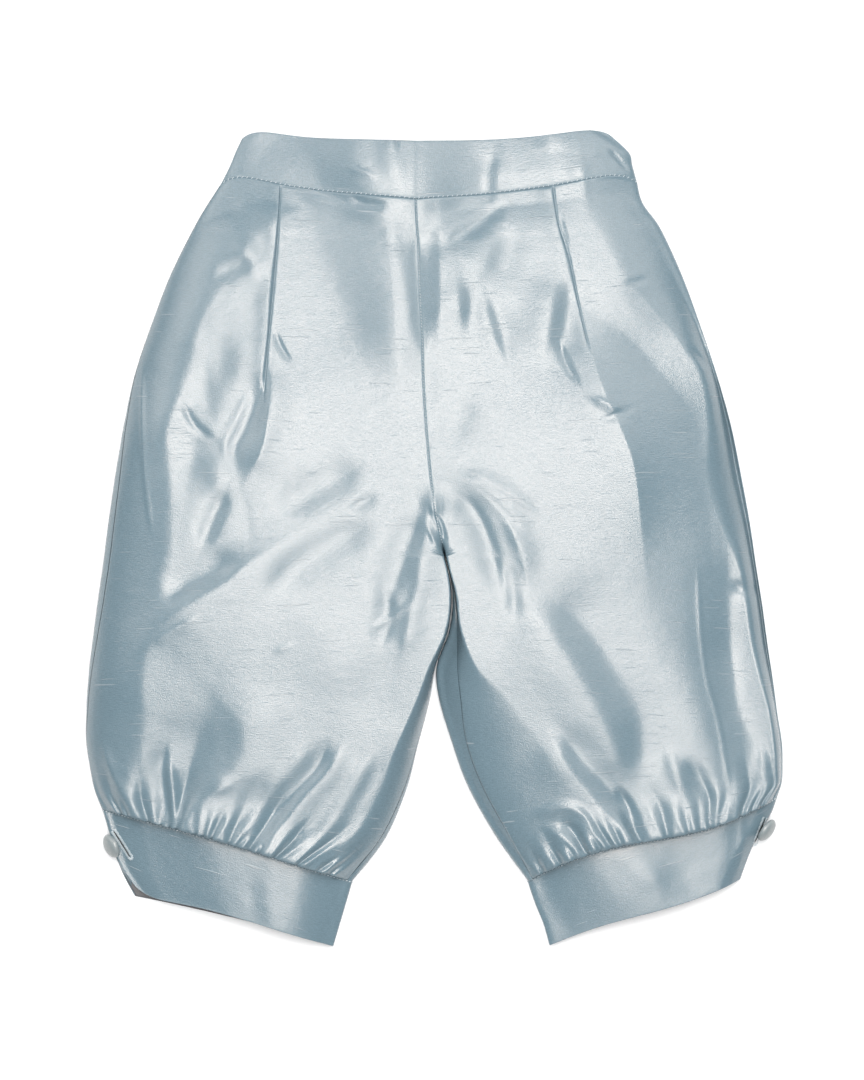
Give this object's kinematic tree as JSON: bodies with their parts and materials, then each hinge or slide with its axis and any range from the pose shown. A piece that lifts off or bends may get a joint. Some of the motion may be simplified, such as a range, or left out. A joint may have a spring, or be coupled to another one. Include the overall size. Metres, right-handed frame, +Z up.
{
  "type": "knee breeches",
  "caption": "Knee breeches in pale blue silk dupion, laid flat, with a waistband, front darts and gathered, buttoned cuffs.",
  "frame": {"origin": "middle of the garment's footprint, on the surface that it lies on", "axes": "+Z up out of the front, +Y from the knees to the waist, +X towards the wearer's left leg"},
  "size_m": [0.4457, 0.5216, 0.027],
  "materials": {
    "silk": "silk dupion with a soft metallic lustre and slubs",
    "band_silk": "interfaced silk dupion, smoother and firmer",
    "button_silk": "silk dupion drawn tight over a domed button"
  },
  "bodies": {
    "root": {"front_right": "silk", "front_left": "silk", "back_right": "silk", "back_left": "silk", "waistband": "band_silk", "cuff_right": "band_silk", "cuff_left": "band_silk", "button_right": "button_silk", "button_left": "button_silk"}
  },
  "joints": []
}
